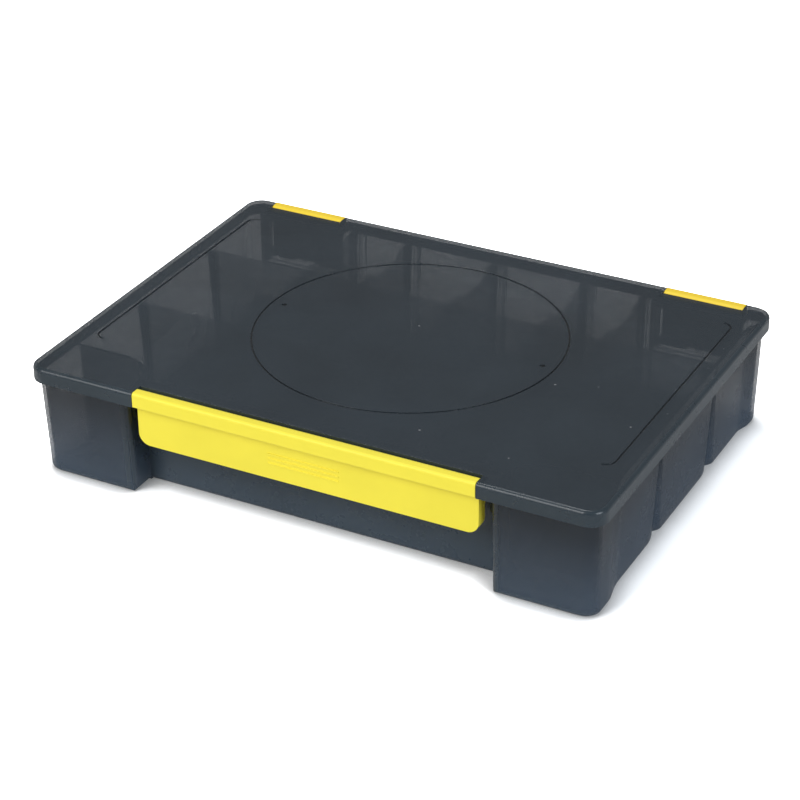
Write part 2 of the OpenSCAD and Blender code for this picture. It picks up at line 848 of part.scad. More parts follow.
tray();
lid();
front_latch();
hinge_clip_left();
hinge_clip_right();
row_wall_front();
row_wall_rear();
front_divider(0);  // divider_front_1
front_divider(1);  // divider_front_2
front_divider(2);  // divider_front_3
front_divider(3);  // divider_front_4
front_divider(4);  // divider_front_5
middle_divider(0);  // divider_middle_1
middle_divider(1);  // divider_middle_2
middle_divider(2);  // divider_middle_3
middle_divider(3);  // divider_middle_4
middle_divider(4);  // divider_middle_5
rear_divider(0);  // divider_rear_1
rear_divider(1);  // divider_rear_2
rear_divider(2);  // divider_rear_3
rear_divider(3);  // divider_rear_4
rear_divider(4);  // divider_rear_5
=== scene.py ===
import math

import bmesh
import bpy
from mathutils import Matrix, Vector


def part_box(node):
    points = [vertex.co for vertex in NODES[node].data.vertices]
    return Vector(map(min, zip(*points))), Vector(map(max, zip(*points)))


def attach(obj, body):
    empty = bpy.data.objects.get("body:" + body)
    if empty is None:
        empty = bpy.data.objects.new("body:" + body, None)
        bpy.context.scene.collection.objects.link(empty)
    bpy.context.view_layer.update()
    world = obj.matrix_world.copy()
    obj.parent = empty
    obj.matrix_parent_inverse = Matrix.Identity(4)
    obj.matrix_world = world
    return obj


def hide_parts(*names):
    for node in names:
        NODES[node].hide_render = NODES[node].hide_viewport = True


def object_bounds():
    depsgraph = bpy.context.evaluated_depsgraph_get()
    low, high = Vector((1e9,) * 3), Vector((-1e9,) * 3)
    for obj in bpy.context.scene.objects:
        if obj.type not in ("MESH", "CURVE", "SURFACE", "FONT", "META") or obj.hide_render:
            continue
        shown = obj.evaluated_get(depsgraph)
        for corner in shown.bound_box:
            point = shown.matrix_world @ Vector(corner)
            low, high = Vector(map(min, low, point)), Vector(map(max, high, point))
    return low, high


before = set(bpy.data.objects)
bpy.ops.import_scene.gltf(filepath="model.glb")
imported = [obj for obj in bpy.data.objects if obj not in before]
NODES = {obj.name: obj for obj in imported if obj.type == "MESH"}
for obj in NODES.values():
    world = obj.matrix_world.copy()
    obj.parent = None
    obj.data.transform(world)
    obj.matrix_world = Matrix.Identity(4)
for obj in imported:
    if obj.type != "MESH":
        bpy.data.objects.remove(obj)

bl_info = {
    "name": "Compartment tackle box",
    "version": (1, 0, 0),
    "blender": (4, 5, 0),
    "location": "3D View > Sidebar > Tackle Box",
    "description": "Finishes the packed parts of a smoke-tinted compartment box "
                   "and sets up its studio",
    "category": "Object",
}

CAD_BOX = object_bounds()
ROWS = ("front", "middle", "rear")
COLUMNS = range(1, 6)

# numbers of a smoke piece's finishes: thin plates, thick places, grooves with painted shade
WALL, EDGE, GROOVE = range(3)

# meshes, in metres and radians
JOINED_POINTS = 2e-6
SHORTEST_EDGE = 1e-6
SAME_LEVEL = 1e-5
ONE_PLANE = math.radians(0.6)
CREASE = math.radians(32)

# normal.z of faces, and areas in square metres, that tell plates from thick places
LEVEL_FACE = 0.98
UPRIGHT_FACE = 0.2
SMALLEST_WALL = 25e-6
SMALLEST_FLOOR = 800e-6

# places of the tray, in metres: the top of its floor, and the ends of its latch ledge
FLOOR_TOP = 0.01
LEDGE_END, LEDGE_BACK, LEDGE_FOOT = 0.112, -0.105, 0.045

# places of the lid, in metres from its middle and down from its top
PLATE_END, PLATE_SIDE, PLATE_FOOT = 0.168, 0.118, 0.003
GROOVE_END, GROOVE_SIDE, GROOVE_TOP, GROOVE_FOOT = 0.166, 0.116, 0.0001, 0.00055

# range that most of a noise falls in, and the shades that it gives a smoke tint
NOISE_LOW, NOISE_HIGH = 0.3, 0.7
CLOUD_DARK, CLOUD_LIGHT = 0.88, 1.14

# heights between which the tray's tint goes from painted light at the foot to painted shade under
# the lid, in metres, and the colour of dust
PAINTED_LIGHT_HEIGHT, PAINTED_SHADE_HEIGHT = 0.006, 0.052
DUST = (0.3, 0.31, 0.32)

# points along the top edge of a divider
DIVIDER_POINTS = 49


# ---------------------------------------------------------------- settings

class SmokeSettings(bpy.types.PropertyGroup):
    """Tinted see-through plastic of the tray, the lid and the dividers"""
    lid_colour: bpy.props.FloatVectorProperty(
        name="Lid colour", description="Tint of the plate of the lid",
        subtype="COLOR", size=3, min=0, max=1, default=(0.036, 0.05, 0.064))
    tray_colour: bpy.props.FloatVectorProperty(
        name="Tray colour", description="Tint of the thin walls of the tray",
        subtype="COLOR", size=3, min=0, max=1, default=(0.043, 0.06, 0.084))
    rim_colour: bpy.props.FloatVectorProperty(
        name="Rim colour", description="Tint of the rim of the lid and its roundings",
        subtype="COLOR", size=3, min=0, max=1, default=(0.024, 0.037, 0.048))
    edge_colour: bpy.props.FloatVectorProperty(
        name="Edge colour", description="Tint of the roundings and thick places of the tray",
        subtype="COLOR", size=3, min=0, max=1, default=(0.036, 0.051, 0.068))
    # painted shade inside the narrow grooves of the lid
    groove_shade_colour: bpy.props.FloatVectorProperty(
        name="Groove colour", description="Tint inside the narrow grooves of the lid",
        subtype="COLOR", size=3, min=0, max=1, default=(0.006, 0.008, 0.01))
    sheet_colour: bpy.props.FloatVectorProperty(
        name="Sheet colour", description="Tint of the dividers and the row walls",
        subtype="COLOR", size=3, min=0, max=1, default=(0.115, 0.131, 0.145))
    lid_cover: bpy.props.FloatProperty(
        name="Lid cover", description="Share of light that one face of the lid's plate stops",
        subtype="FACTOR", min=0, max=1, default=0.58)
    tray_cover: bpy.props.FloatProperty(
        name="Tray cover", description="Share of light that one face of a tray wall stops",
        subtype="FACTOR", min=0, max=1, default=0.7)
    edge_cover: bpy.props.FloatProperty(
        name="Edge cover", description="Share of light that one face of a thick place stops",
        subtype="FACTOR", min=0, max=1, default=0.9)
    sheet_cover: bpy.props.FloatProperty(
        name="Sheet cover", description="Share of light that one face of a divider stops",
        subtype="FACTOR", min=0, max=1, default=0.45)
    gloss_low: bpy.props.FloatProperty(
        name="Lowest roughness", description="Roughness of the smoothest patches",
        min=0, max=1, default=0.25)
    gloss_high: bpy.props.FloatProperty(
        name="Highest roughness", description="Roughness of the dullest patches",
        min=0, max=1, default=0.31)
    # painted light at the tray's foot and painted shade under the lid, as factors on its tint
    painted_light_at_foot: bpy.props.FloatProperty(
        name="Tint at the foot", description="Factor on the tray's tint at its foot",
        min=0, max=3, default=1.5)
    painted_shade_at_rim: bpy.props.FloatProperty(
        name="Tint at the rim", description="Factor on the tray's tint under the lid",
        min=0, max=3, default=0.35)
    dust: bpy.props.FloatProperty(
        name="Dust", description="Share of the dust cells that hold a speck",
        subtype="FACTOR", min=0, max=1, default=0.06)


class YellowSettings(bpy.types.PropertyGroup):
    """Opaque yellow plastic of the latch and the rear clips"""
    colour: bpy.props.FloatVectorProperty(
        name="Latch colour", description="Colour of the latch",
        subtype="COLOR", size=3, min=0, max=1, default=(1, 0.86, 0.07))
    # the latch's yellow with painted shade: deeper and more orange, as the tops of the clips look
    # in shade
    clip_shaded_colour: bpy.props.FloatVectorProperty(
        name="Clip colour", description="Colour of the rear clips",
        subtype="COLOR", size=3, min=0, max=1, default=(1, 0.72, 0.05))
    roughness: bpy.props.FloatProperty(
        name="Roughness", description="Mean roughness of the moulding",
        min=0, max=1, default=0.4)


class EdgeSettings(bpy.types.PropertyGroup):
    """Small roundings that moulded edges have"""
    width: bpy.props.FloatProperty(
        name="Edge rounding", description="Width of the rounding along sharp edges",
        unit="LENGTH", subtype="DISTANCE", min=0.0001, max=0.001, default=0.0004)
    steps: bpy.props.IntProperty(
        name="Steps", description="Faces across each rounding", min=1, max=4, default=2)


class DividerSettings(bpy.types.PropertyGroup):
    """Finger dip in the top edge of the cross dividers"""
    dip_depth: bpy.props.FloatProperty(
        name="Dip depth", description="Depth of the dip in the top edge",
        unit="LENGTH", subtype="DISTANCE", min=0, max=0.01, default=0.005)
    dip_width: bpy.props.FloatProperty(
        name="Dip width", description="Width of the floor of the dip",
        unit="LENGTH", subtype="DISTANCE", min=0.01, max=0.04, default=0.024)
    dip_slope: bpy.props.FloatProperty(
        name="Dip slope", description="Length of the curve at each end of the dip",
        unit="LENGTH", subtype="DISTANCE", min=0.002, max=0.02, default=0.007)


class StageSettings(bpy.types.PropertyGroup):
    """Camera and lights"""
    azimuth: bpy.props.FloatProperty(
        name="Azimuth", description="Turn of the camera from straight ahead, to the right",
        default=27.802)
    elevation: bpy.props.FloatProperty(
        name="Elevation", description="Height angle of the camera", default=29.409)
    roll: bpy.props.FloatProperty(
        name="Roll", description="Roll of the camera", default=-0.483)
    distance: bpy.props.FloatProperty(
        name="Distance", description="Distance of the camera along its view",
        unit="LENGTH", subtype="DISTANCE", default=1.446558)
    shift_right: bpy.props.FloatProperty(
        name="Move right", description="Sideways place of the camera",
        unit="LENGTH", subtype="DISTANCE", default=-0.004714)
    shift_up: bpy.props.FloatProperty(
        name="Move up", description="Upward place of the camera",
        unit="LENGTH", subtype="DISTANCE", default=0.024716)
    lens: bpy.props.FloatProperty(
        name="Focal length", description="Focal length in millimetres", default=110.08)
    world_light: bpy.props.FloatProperty(
        name="Room light", description="Strength of the even light from the room", default=0.3)
    key_power: bpy.props.FloatProperty(
        name="Key light", description="Power of the softbox at the front left, in watts",
        default=20)
    fill_power: bpy.props.FloatProperty(
        name="Fill light", description="Power of the softbox at the right, in watts",
        default=20.5)
    top_power: bpy.props.FloatProperty(
        name="Top light", description="Power of the softbox above, in watts", default=9)


# ---------------------------------------------------------------- node helpers

def new_material(name):
    """Material and its only shader."""
    material = bpy.data.materials.new(name)
    material.use_nodes = True
    nodes = material.node_tree.nodes
    nodes.clear()
    output = nodes.new("ShaderNodeOutputMaterial")
    shader = nodes.new("ShaderNodeBsdfPrincipled")
    material.node_tree.links.new(shader.outputs["BSDF"], output.inputs["Surface"])
    return material, shader


def object_noise(tree, scale, detail, roughness=0.5, stretch=(1, 1, 1)):
    """Noise on the object's own coordinates; its features are about 1/scale metres."""
    coordinates = tree.nodes.new("ShaderNodeTexCoord")
    mapping = tree.nodes.new("ShaderNodeMapping")
    mapping.inputs["Scale"].default_value = stretch
    noise = tree.nodes.new("ShaderNodeTexNoise")
    noise.inputs["Scale"].default_value = scale
    noise.inputs["Detail"].default_value = detail
    noise.inputs["Roughness"].default_value = roughness
    tree.links.new(coordinates.outputs["Object"], mapping.inputs["Vector"])
    tree.links.new(mapping.outputs["Vector"], noise.inputs["Vector"])
    return noise.outputs["Fac"]


def spread_noise(tree, low, high, **noise):
    """Noise on the object's own coordinates, between low and high."""
    return map_range(tree, object_noise(tree, **noise), NOISE_LOW, NOISE_HIGH, low, high)


def object_height(tree, low, high):
    """0 at the lower height and 1 at the upper one, on the object's own coordinates."""
    coordinates = tree.nodes.new("ShaderNodeTexCoord")
    split = tree.nodes.new("ShaderNodeSeparateXYZ")
    tree.links.new(coordinates.outputs["Object"], split.inputs["Vector"])
    return map_range(tree, split.outputs["Z"], low, high, 0, 1)


def map_range(tree, value, low_in, high_in, low_out, high_out):
    """The value, moved from one range to another and held inside it."""
    node = tree.nodes.new("ShaderNodeMapRange")
    for name, number in (("From Min", low_in), ("From Max", high_in),
                         ("To Min", low_out), ("To Max", high_out)):
        node.inputs[name].default_value = number
    tree.links.new(value, node.inputs["Value"])
    return node.outputs["Result"]


def two_colours(tree, factor, low, high):
    """Mix of two colours, each of them three numbers or a socket."""
    node = tree.nodes.new("ShaderNodeMix")
    node.data_type = "RGBA"
    a = [s for s in node.inputs if s.name == "A" and s.type == "RGBA"][0]
    b = [s for s in node.inputs if s.name == "B" and s.type == "RGBA"][0]
    result = [s for s in node.outputs if s.type == "RGBA"][0]
    tree.links.new(factor, [s for s in node.inputs if s.name == "Factor"][0])
    for socket, colour in ((a, low), (b, high)):
        if isinstance(colour, bpy.types.NodeSocket):
            tree.links.new(colour, socket)
        else:
            socket.default_value = (*colour, 1)
    return result


def bump(tree, height, strength, depth, normal=None):
    """Bumps of the height, on top of another normal if there is one."""
    node = tree.nodes.new("ShaderNodeBump")
    node.inputs["Strength"].default_value = strength
    node.inputs["Distance"].default_value = depth
    tree.links.new(height, node.inputs["Height"])
    if normal is not None:
        tree.links.new(normal, node.inputs["Normal"])
    return node.outputs["Normal"]


def tint(colour, factor):
    """The colour, brighter or darker by the factor."""
    return tuple(min(1, c * factor) for c in colour)


def dust_specks(tree, share, cells):
    """Mask of tiny pale specks, one in some of the cells."""
    coordinates = tree.nodes.new("ShaderNodeTexCoord")
    voronoi = tree.nodes.new("ShaderNodeTexVoronoi")
    voronoi.inputs["Scale"].default_value = cells
    split = tree.nodes.new("ShaderNodeSeparateColor")
    tree.links.new(coordinates.outputs["Object"], voronoi.inputs["Vector"])
    tree.links.new(voronoi.outputs["Color"], split.inputs["Color"])
    chosen = map_range(tree, split.outputs[0], low_in=1 - share - 0.002, high_in=1 - share,
                       low_out=0, high_out=1)
    near = map_range(tree, voronoi.outputs["Distance"], low_in=0.05, high_in=0.075,
                     low_out=1, high_out=0)
    return math_node(tree, "MULTIPLY", chosen, near)


def math_node(tree, operation, *values):
    """Result of an operation on numbers or sockets."""
    node = tree.nodes.new("ShaderNodeMath")
    node.operation = operation
    for socket, value in zip(node.inputs, values):
        if isinstance(value, bpy.types.NodeSocket):
            tree.links.new(value, socket)
        else:
            socket.default_value = value
    return node.outputs[0]


# ---------------------------------------------------------------- finishes

def cloudy_tint(tree, cloud, colour):
    """The colour, a little darker and lighter in places."""
    return two_colours(tree, cloud, tint(colour, CLOUD_DARK), tint(colour, CLOUD_LIGHT))


def smoke_plastic(name, colour, cover, settings, dusty=True, painted_height_shade=None):
    """Tinted see-through moulding: cloudy tint, satin skin, faint waves of shrinkage.

    painted_height_shade is a pair of factors on the tint, at the foot and at the top of the box:
    painted light low down and painted shade under the lid."""
    material, shader = new_material(name)
    tree = material.node_tree
    cloud = spread_noise(tree, 0, 1, scale=14, detail=3)
    # painted light at the foot and painted shade under the lid, blended by height
    if painted_height_shade:
        lit_foot, shaded_top = (cloudy_tint(tree, cloud, tint(colour, factor)) for factor in painted_height_shade)
        skin = two_colours(tree, object_height(tree, PAINTED_LIGHT_HEIGHT, PAINTED_SHADE_HEIGHT), lit_foot, shaded_top)
    else:
        skin = cloudy_tint(tree, cloud, colour)
    if dusty:
        specks = dust_specks(tree, settings.dust, cells=90)
        skin = two_colours(tree, specks, skin, DUST)
    tree.links.new(skin, shader.inputs["Base Color"])
    dull = spread_noise(tree, settings.gloss_low, settings.gloss_high,
                        scale=45, detail=4, roughness=0.6)
    tree.links.new(dull, shader.inputs["Roughness"])
    waves = bump(tree, object_noise(tree, scale=22, detail=2), strength=0.05, depth=0.0006)
    tree.links.new(waves, shader.inputs["Normal"])
    shader.inputs["IOR"].default_value = 1.49
    shader.inputs["Alpha"].default_value = cover
    return material


def yellow_plastic(name, colour, settings):
    """Opaque moulding: slight depth variation, satin skin, fine grain."""
    material, shader = new_material(name)
    tree = material.node_tree
    cloud = spread_noise(tree, 0, 1, scale=30, detail=3)
    skin = two_colours(tree, cloud, tint(colour, 0.95), colour)
    tree.links.new(skin, shader.inputs["Base Color"])
    dull = spread_noise(tree, settings.roughness - 0.05, settings.roughness + 0.06,
                        scale=70, detail=4, roughness=0.6)
    tree.links.new(dull, shader.inputs["Roughness"])
    waves = bump(tree, object_noise(tree, scale=40, detail=2, stretch=(0.4, 1, 1)),
                 strength=0.08, depth=0.0004)
    grain = bump(tree, object_noise(tree, scale=2200, detail=2),
                 strength=0.02, depth=0.00002, normal=waves)
    tree.links.new(grain, shader.inputs["Normal"])
    shader.inputs["IOR"].default_value = 1.5
    shader.inputs["Specular IOR Level"].default_value = 0.3
    return material


# ---------------------------------------------------------------- meshes

def merged_copy(node, name):
    """Object with the node's mesh, its loose triangles joined and its flat faces whole."""
    mesh = NODES[node].data.copy()
    mesh.name = name
    work = bmesh.new()
    work.from_mesh(mesh)
    bmesh.ops.remove_doubles(work, verts=work.verts, dist=JOINED_POINTS)
    bmesh.ops.dissolve_degenerate(work, edges=work.edges, dist=SHORTEST_EDGE)
    bmesh.ops.dissolve_limit(work, angle_limit=ONE_PLANE, verts=work.verts, edges=work.edges)
    work.to_mesh(mesh)
    work.free()
    mesh.materials.clear()
    piece = bpy.data.objects.new(name, mesh)
    bpy.context.scene.collection.objects.link(piece)
    return piece


def sort_faces(piece, rule):
    """Gives each face the finish whose number the rule returns for its middle, normal, area."""
    for face in piece.data.polygons:
        face.material_index = rule(face.center, face.normal, face.area)


def tray_finish(middle, normal, area):
    """Thin plates of the tray are its upright walls and its floor, but not its latch ledge."""
    upright = abs(normal.z) < UPRIGHT_FACE and area > SMALLEST_WALL
    floor = abs(normal.z) > LEVEL_FACE and area > SMALLEST_FLOOR and middle.z < FLOOR_TOP
    ledge = abs(middle.x) < LEDGE_END and middle.y < LEDGE_BACK and middle.z > LEDGE_FOOT
    return WALL if (upright or floor) and not ledge else EDGE


def lid_finish(middle, normal, area):
    """The plate of the lid is thin, its rim is thick, and its grooves get painted shade."""
    below_top = CAD_BOX[1][2] - middle.z
    in_groove = abs(middle.x) < GROOVE_END and abs(middle.y) < GROOVE_SIDE
    if in_groove and GROOVE_TOP < below_top < GROOVE_FOOT:
        return GROOVE
    inside_rim = abs(middle.x) < PLATE_END and abs(middle.y) < PLATE_SIDE
    plate = abs(normal.z) > LEVEL_FACE and below_top < PLATE_FOOT
    return WALL if plate and inside_rim else EDGE


def soften(piece, edges, thick=0, rounded=True):
    """Evens the shading of a piece, and rounds its sharp edges, with the thick finish."""
    mesh = piece.data
    mesh.shade_smooth()
    mesh.set_sharp_from_angle(angle=CREASE)
    if rounded:
        bevel = piece.modifiers.new("Soft edges", "BEVEL")
        bevel.width = edges.width
        bevel.segments = edges.steps
        bevel.limit_method = "ANGLE"
        bevel.angle_limit = CREASE
        bevel.use_clamp_overlap = True
        bevel.miter_outer = "MITER_SHARP"
        bevel.material = thick
    shading = piece.modifiers.new("Even shading", "WEIGHTED_NORMAL")
    shading.mode = "FACE_AREA"
    shading.keep_sharp = True
    settle(piece)


def settle(piece):
    """Bakes a piece's modifiers into a plain mesh."""
    bpy.context.view_layer.update()
    graph = bpy.context.evaluated_depsgraph_get()
    mesh = bpy.data.meshes.new_from_object(piece.evaluated_get(graph))
    piece.modifiers.clear()
    old = piece.data
    piece.data = mesh
    mesh.name = piece.name
    bpy.data.meshes.remove(old)


def finish_piece(piece, materials, body, nodes):
    """Gives a piece its materials and its body, in place of its CAD nodes."""
    fill_slots(piece.data, materials)
    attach(piece, body)
    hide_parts(*nodes)


def fill_slots(mesh, materials):
    """Sets the materials without losing which face has which number."""
    while len(mesh.materials) > len(materials):
        mesh.materials.pop()
    for number, material in enumerate(materials):
        if number < len(mesh.materials):
            mesh.materials[number] = material
        else:
            mesh.materials.append(material)


def soft_piece(node, name, materials, body, edges, rule=None, rounded=True):
    """The CAD node's own shape, with soft edges and its finishes."""
    piece = merged_copy(node, name)
    fill_slots(piece.data, materials)
    if rule:
        sort_faces(piece, rule)
    soften(piece, edges, EDGE if rule else 0, rounded)
    finish_piece(piece, materials, body, [node])


# ---------------------------------------------------------------- dividers by geometry nodes

def mix_floats(tree, factor, low, high):
    """Mix of two numbers, all three of them sockets."""
    node = tree.nodes.new("ShaderNodeMix")
    node.data_type = "FLOAT"
    for name, value in (("Factor", factor), ("A", low), ("B", high)):
        socket = [s for s in node.inputs if s.name == name and s.type == "VALUE"][0]
        tree.links.new(value, socket)
    return [s for s in node.outputs if s.type == "VALUE"][0]


def divider_tree():
    """A row of like plates: one stands on each point, with a finger dip in its top edge."""
    tree = bpy.data.node_groups.new("divider_row", "GeometryNodeTree")
    face = tree.interface
    face.new_socket("Geometry", in_out="INPUT", socket_type="NodeSocketGeometry")
    for name in ("Near end at floor", "Near end at top", "Far end at floor", "Far end at top",
                 "Lower edge", "Upper edge", "Thickness", "Dip depth", "Dip width", "Dip slope"):
        face.new_socket(name, in_out="INPUT", socket_type="NodeSocketFloat")
    face.new_socket("Finish", in_out="INPUT", socket_type="NodeSocketMaterial")
    face.new_socket("Geometry", in_out="OUTPUT", socket_type="NodeSocketGeometry")
    nodes, links = tree.nodes, tree.links
    given = nodes.new("NodeGroupInput").outputs
    result = nodes.new("NodeGroupOutput")

    grid = nodes.new("GeometryNodeMeshGrid")
    for name, number in (("Size X", 1), ("Size Y", 1), ("Vertices X", DIVIDER_POINTS),
                         ("Vertices Y", 2)):
        grid.inputs[name].default_value = number
    place = nodes.new("GeometryNodeInputPosition")
    split = nodes.new("ShaderNodeSeparateXYZ")
    links.new(place.outputs[0], split.inputs[0])
    along = math_node(tree, "ADD", split.outputs["X"], 0.5)
    upward = math_node(tree, "ADD", split.outputs["Y"], 0.5)
    near = mix_floats(tree, upward, given["Near end at floor"], given["Near end at top"])
    far = mix_floats(tree, upward, given["Far end at floor"], given["Far end at top"])
    depth = mix_floats(tree, along, near, far)
    both_ends = math_node(tree, "ADD", given["Near end at top"], given["Far end at top"])
    middle = math_node(tree, "MULTIPLY", both_ends, 0.5)
    away = math_node(tree, "ABSOLUTE", math_node(tree, "SUBTRACT", depth, middle))
    half = math_node(tree, "MULTIPLY", given["Dip width"], 0.5)
    curve = nodes.new("ShaderNodeMapRange")
    curve.interpolation_type = "SMOOTHSTEP"
    links.new(away, curve.inputs["Value"])
    links.new(half, curve.inputs["From Min"])
    links.new(math_node(tree, "ADD", half, given["Dip slope"]), curve.inputs["From Max"])
    links.new(given["Dip depth"], curve.inputs["To Min"])
    curve.inputs["To Max"].default_value = 0
    top = math_node(tree, "SUBTRACT", given["Upper edge"], curve.outputs["Result"])
    level = mix_floats(tree, upward, given["Lower edge"], top)
    side = math_node(tree, "MULTIPLY", given["Thickness"], -0.5)
    point = nodes.new("ShaderNodeCombineXYZ")
    for name, value in (("X", side), ("Y", depth), ("Z", level)):
        links.new(value, point.inputs[name])
    shaped = nodes.new("GeometryNodeSetPosition")
    links.new(grid.outputs["Mesh"], shaped.inputs["Geometry"])
    links.new(point.outputs[0], shaped.inputs["Position"])

    thick = nodes.new("GeometryNodeExtrudeMesh")
    thick.inputs["Individual"].default_value = False
    links.new(shaped.outputs[0], thick.inputs["Mesh"])
    links.new(given["Thickness"], thick.inputs["Offset Scale"])
    back = nodes.new("GeometryNodeFlipFaces")
    links.new(shaped.outputs[0], back.inputs["Mesh"])
    both = nodes.new("GeometryNodeJoinGeometry")
    links.new(thick.outputs["Mesh"], both.inputs[0])
    links.new(back.outputs["Mesh"], both.inputs[0])
    closed = nodes.new("GeometryNodeMergeByDistance")
    closed.inputs["Distance"].default_value = SHORTEST_EDGE
    links.new(both.outputs[0], closed.inputs["Geometry"])

    stand = nodes.new("GeometryNodeInstanceOnPoints")
    links.new(given["Geometry"], stand.inputs["Points"])
    links.new(closed.outputs[0], stand.inputs["Instance"])
    real = nodes.new("GeometryNodeRealizeInstances")
    links.new(stand.outputs[0], real.inputs[0])
    paint = nodes.new("GeometryNodeSetMaterial")
    links.new(real.outputs[0], paint.inputs["Geometry"])
    links.new(given["Finish"], paint.inputs["Material"])
    links.new(paint.outputs[0], result.inputs[0])
    return tree


def ends_at(node, level):
    """Nearest and furthest y of a plate's corners at its lowest (0) or highest (1) level."""
    low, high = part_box(node)
    z = (low[2], high[2])[level]
    depths = [v.co.y for v in NODES[node].data.vertices if abs(v.co.z - z) < SAME_LEVEL]
    return min(depths), max(depths)


def divider_row(row, tree, material, settings, edges):
    """One piece with a row's five dividers, measured on their CAD nodes."""
    names = ["divider_%s_%d" % (row, i) for i in COLUMNS]
    boxes = [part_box(name) for name in names]
    near_low, far_low = ends_at(names[0], 0)
    near_high, far_high = ends_at(names[0], 1)
    low, high = boxes[0]
    values = {
        "Near end at floor": near_low, "Near end at top": near_high,
        "Far end at floor": far_low, "Far end at top": far_high,
        "Lower edge": low[2], "Upper edge": high[2], "Thickness": high[0] - low[0],
        "Dip depth": settings.dip_depth, "Dip width": settings.dip_width,
        "Dip slope": settings.dip_slope, "Finish": material,
    }
    mesh = bpy.data.meshes.new("dividers_" + row)
    mesh.from_pydata([((b[0][0] + b[1][0]) / 2, 0, 0) for b in boxes], [], [])
    piece = bpy.data.objects.new(mesh.name, mesh)
    bpy.context.scene.collection.objects.link(piece)
    plates = piece.modifiers.new("Divider row", "NODES")
    plates.node_group = tree
    for socket in tree.interface.items_tree:
        if socket.in_out == "INPUT" and socket.name in values:
            plates[socket.identifier] = values[socket.name]
    settle(piece)
    soften(piece, edges)
    finish_piece(piece, [material], "tray", names)


# ---------------------------------------------------------------- operators

class PieceOperator:
    """What all the operators share"""
    bl_options = {"REGISTER", "UNDO"}


class TACKLEBOX_OT_tray(PieceOperator, bpy.types.Operator):
    """Finish the tray"""
    bl_idname = "tacklebox.tray"
    bl_label = "Tray"

    def execute(self, context):
        smoke = context.scene.tackle_smoke
        # painted light low down and painted shade under the lid, on the tray's tint
        painted_height_shade = (smoke.painted_light_at_foot, smoke.painted_shade_at_rim)
        materials = [
            smoke_plastic("smoke_wall_tray", smoke.tray_colour, smoke.tray_cover, smoke,
                          painted_height_shade=painted_height_shade),
            smoke_plastic("smoke_edge_tray", smoke.edge_colour, smoke.edge_cover, smoke,
                          painted_height_shade=painted_height_shade),
        ]
        # the shortest edges of the tray hold a rounding back to nothing, so it goes without
        soft_piece("tray", "soft_tray", materials, "tray", context.scene.tackle_edges,
                   tray_finish, rounded=False)
        return {"FINISHED"}


class TACKLEBOX_OT_lid(PieceOperator, bpy.types.Operator):
    """Finish the lid"""
    bl_idname = "tacklebox.lid"
    bl_label = "Lid"

    def execute(self, context):
        smoke = context.scene.tackle_smoke
        materials = [
            smoke_plastic("smoke_wall_lid", smoke.lid_colour, smoke.lid_cover, smoke),
            smoke_plastic("smoke_edge_lid", smoke.rim_colour, smoke.edge_cover, smoke),
            # the dark tint of the grooves is painted shade
            smoke_plastic("smoke_groove_shade", smoke.groove_shade_colour, smoke.edge_cover, smoke,
                          dusty=False),
        ]
        soft_piece("lid", "soft_lid", materials, "lid", context.scene.tackle_edges,
                   lid_finish)
        return {"FINISHED"}


class TACKLEBOX_OT_latch(PieceOperator, bpy.types.Operator):
    """Finish the front latch"""
    bl_idname = "tacklebox.latch"
    bl_label = "Front latch"

    def execute(self, context):
        yellow = context.scene.tackle_yellow
        material = yellow_plastic("yellow_latch", yellow.colour, yellow)
        soft_piece("front_latch", "soft_latch", [material], "latch",
                   context.scene.tackle_edges)
        return {"FINISHED"}


class TACKLEBOX_OT_clips(PieceOperator, bpy.types.Operator):
    """Finish the two rear clips"""
    bl_idname = "tacklebox.clips"
    bl_label = "Rear clips"

    def execute(self, context):
        yellow = context.scene.tackle_yellow
        # the clips' yellow carries painted shade
        material = yellow_plastic("yellow_clip_shaded", yellow.clip_shaded_colour, yellow)
        for side in ("left", "right"):
            soft_piece("hinge_clip_" + side, "soft_clip_" + side, [material], "lid",
                       context.scene.tackle_edges)
        return {"FINISHED"}


class TACKLEBOX_OT_dividers(PieceOperator, bpy.types.Operator):
    """Finish the row walls and the cross dividers"""
    bl_idname = "tacklebox.dividers"
    bl_label = "Dividers"

    def execute(self, context):
        smoke = context.scene.tackle_smoke
        edges = context.scene.tackle_edges
        material = smoke_plastic("smoke_sheet", smoke.sheet_colour, smoke.sheet_cover, smoke,
                                 dusty=False)
        for name in ("row_wall_front", "row_wall_rear"):
            soft_piece(name, "soft_" + name, [material], "tray", edges)
        tree = divider_tree()
        for row in ROWS:
            divider_row(row, tree, material, context.scene.tackle_dividers, edges)
        return {"FINISHED"}


class TACKLEBOX_OT_stage(PieceOperator, bpy.types.Operator):
    """Set up the camera, the lights and the floor"""
    bl_idname = "tacklebox.stage"
    bl_label = "Stage"

    def execute(self, context):
        stage = context.scene.tackle_stage
        add_camera(context.scene, stage)
        add_room(context.scene, stage)
        add_floor()
        softbox("key_light", place=(-0.7, -1.5, 1.1), aim=(0, 0, 0.02), size=1.1,
                power=stage.key_power)
        softbox("fill_light", place=(1.9, -0.6, 0.9), aim=(0, 0, 0.02), size=1.0,
                power=stage.fill_power, colour=(0.86, 0.93, 1))
        softbox("top_light", place=(-0.4, 0.4, 1.9), aim=(0, 0, 0), size=0.7,
                power=stage.top_power)
        context.scene.view_settings.view_transform = "Standard"
        return {"FINISHED"}


